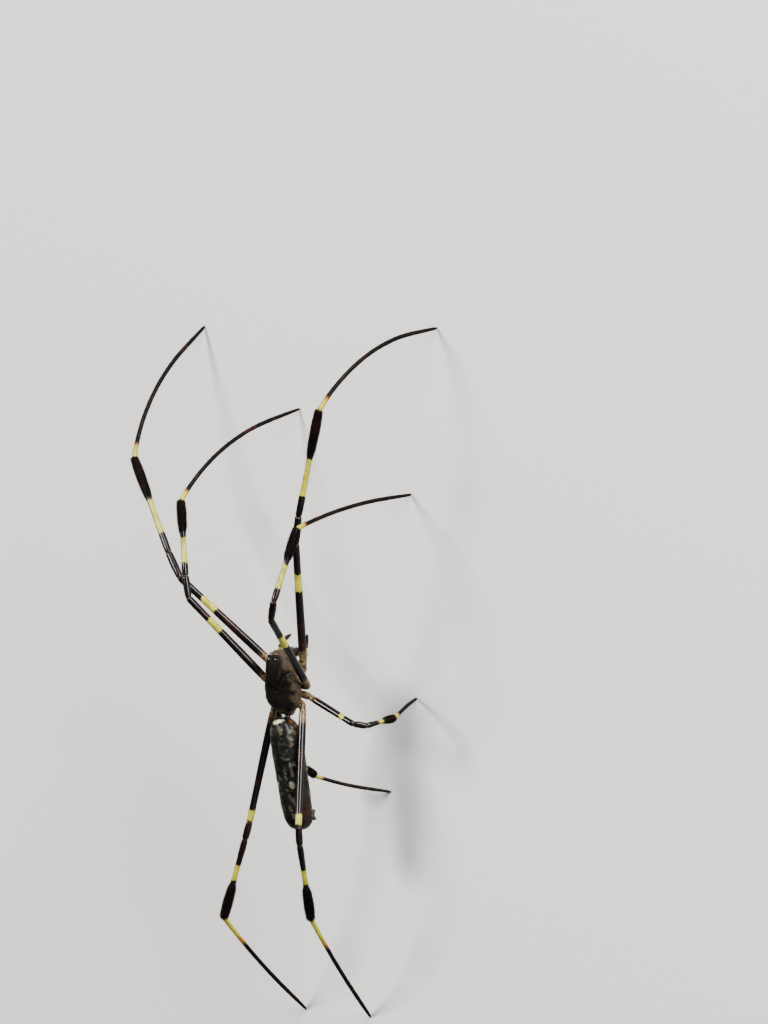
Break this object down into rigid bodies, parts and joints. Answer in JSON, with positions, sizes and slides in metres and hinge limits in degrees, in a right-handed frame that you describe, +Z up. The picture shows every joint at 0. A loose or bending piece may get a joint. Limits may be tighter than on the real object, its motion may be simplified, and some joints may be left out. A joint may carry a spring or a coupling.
{
  "type": "golden silk orb weaver spider model",
  "caption": "Life-size still model of a slim golden silk orb weaver standing on long banded legs, its long body level above the floor.",
  "frame": {"origin": "middle of the floor under the model's whole outline", "axes": "+Z up, +Y the way the head faces, +X the spider's right side"},
  "size_m": [0.0386, 0.0844, 0.0252],
  "materials": {
    "carapace_hair": "dark brown shield under short silver-buff hair",
    "dark_cuticle": "glossy near-black cuticle",
    "brown_cuticle": "satin buff-brown cuticle, mottled darker",
    "abdomen_skin": "satin dark skin with pale streaks and spots",
    "leg_cuticle": "glossy near-black cuticle with buff-yellow bands",
    "eye_lens": "polished black lens"
  },
  "bodies": {
    "root": {"abdomen": "abdomen_skin", "carapace": "carapace_hair", "chelicera_left": "dark_cuticle", "chelicera_right": "dark_cuticle", "eyes_left": "eye_lens", "eyes_middle": "eye_lens", "eyes_right": "eye_lens", "leg1_left_coxa": "brown_cuticle", "leg1_left_femur": "leg_cuticle", "leg1_left_metatarsus": "leg_cuticle", "leg1_left_patella": "leg_cuticle", "leg1_left_tarsus": "leg_cuticle", "leg1_left_tibia": "leg_cuticle", "leg1_right_coxa": "brown_cuticle", "leg1_right_femur": "leg_cuticle", "leg1_right_metatarsus": "leg_cuticle", "leg1_right_patella": "leg_cuticle", "leg1_right_tarsus": "leg_cuticle", "leg1_right_tibia": "leg_cuticle", "leg2_left_coxa": "brown_cuticle", "leg2_left_femur": "leg_cuticle", "leg2_left_metatarsus": "leg_cuticle", "leg2_left_patella": "leg_cuticle", "leg2_left_tarsus": "leg_cuticle", "leg2_left_tibia": "leg_cuticle", "leg2_right_coxa": "brown_cuticle", "leg2_right_femur": "leg_cuticle", "leg2_right_metatarsus": "leg_cuticle", "leg2_right_patella": "leg_cuticle", "leg2_right_tarsus": "leg_cuticle", "leg2_right_tibia": "leg_cuticle", "leg3_left_coxa": "brown_cuticle", "leg3_left_femur": "leg_cuticle", "leg3_left_metatarsus": "leg_cuticle", "leg3_left_patella": "leg_cuticle", "leg3_left_tarsus": "leg_cuticle", "leg3_left_tibia": "leg_cuticle", "leg3_right_coxa": "brown_cuticle", "leg3_right_femur": "leg_cuticle", "leg3_right_metatarsus": "leg_cuticle", "leg3_right_patella": "leg_cuticle", "leg3_right_tarsus": "leg_cuticle", "leg3_right_tibia": "leg_cuticle", "leg4_left_coxa": "brown_cuticle", "leg4_left_femur": "leg_cuticle", "leg4_left_metatarsus": "leg_cuticle", "leg4_left_patella": "leg_cuticle", "leg4_left_tarsus": "leg_cuticle", "leg4_left_tibia": "leg_cuticle", "leg4_right_coxa": "brown_cuticle", "leg4_right_femur": "leg_cuticle", "leg4_right_metatarsus": "leg_cuticle", "leg4_right_patella": "leg_cuticle", "leg4_right_tarsus": "leg_cuticle", "leg4_right_tibia": "leg_cuticle", "palp_left": "brown_cuticle", "palp_right": "brown_cuticle", "pedicel": "brown_cuticle", "spinnerets": "brown_cuticle", "sternum": "dark_cuticle"}
  },
  "joints": []
}
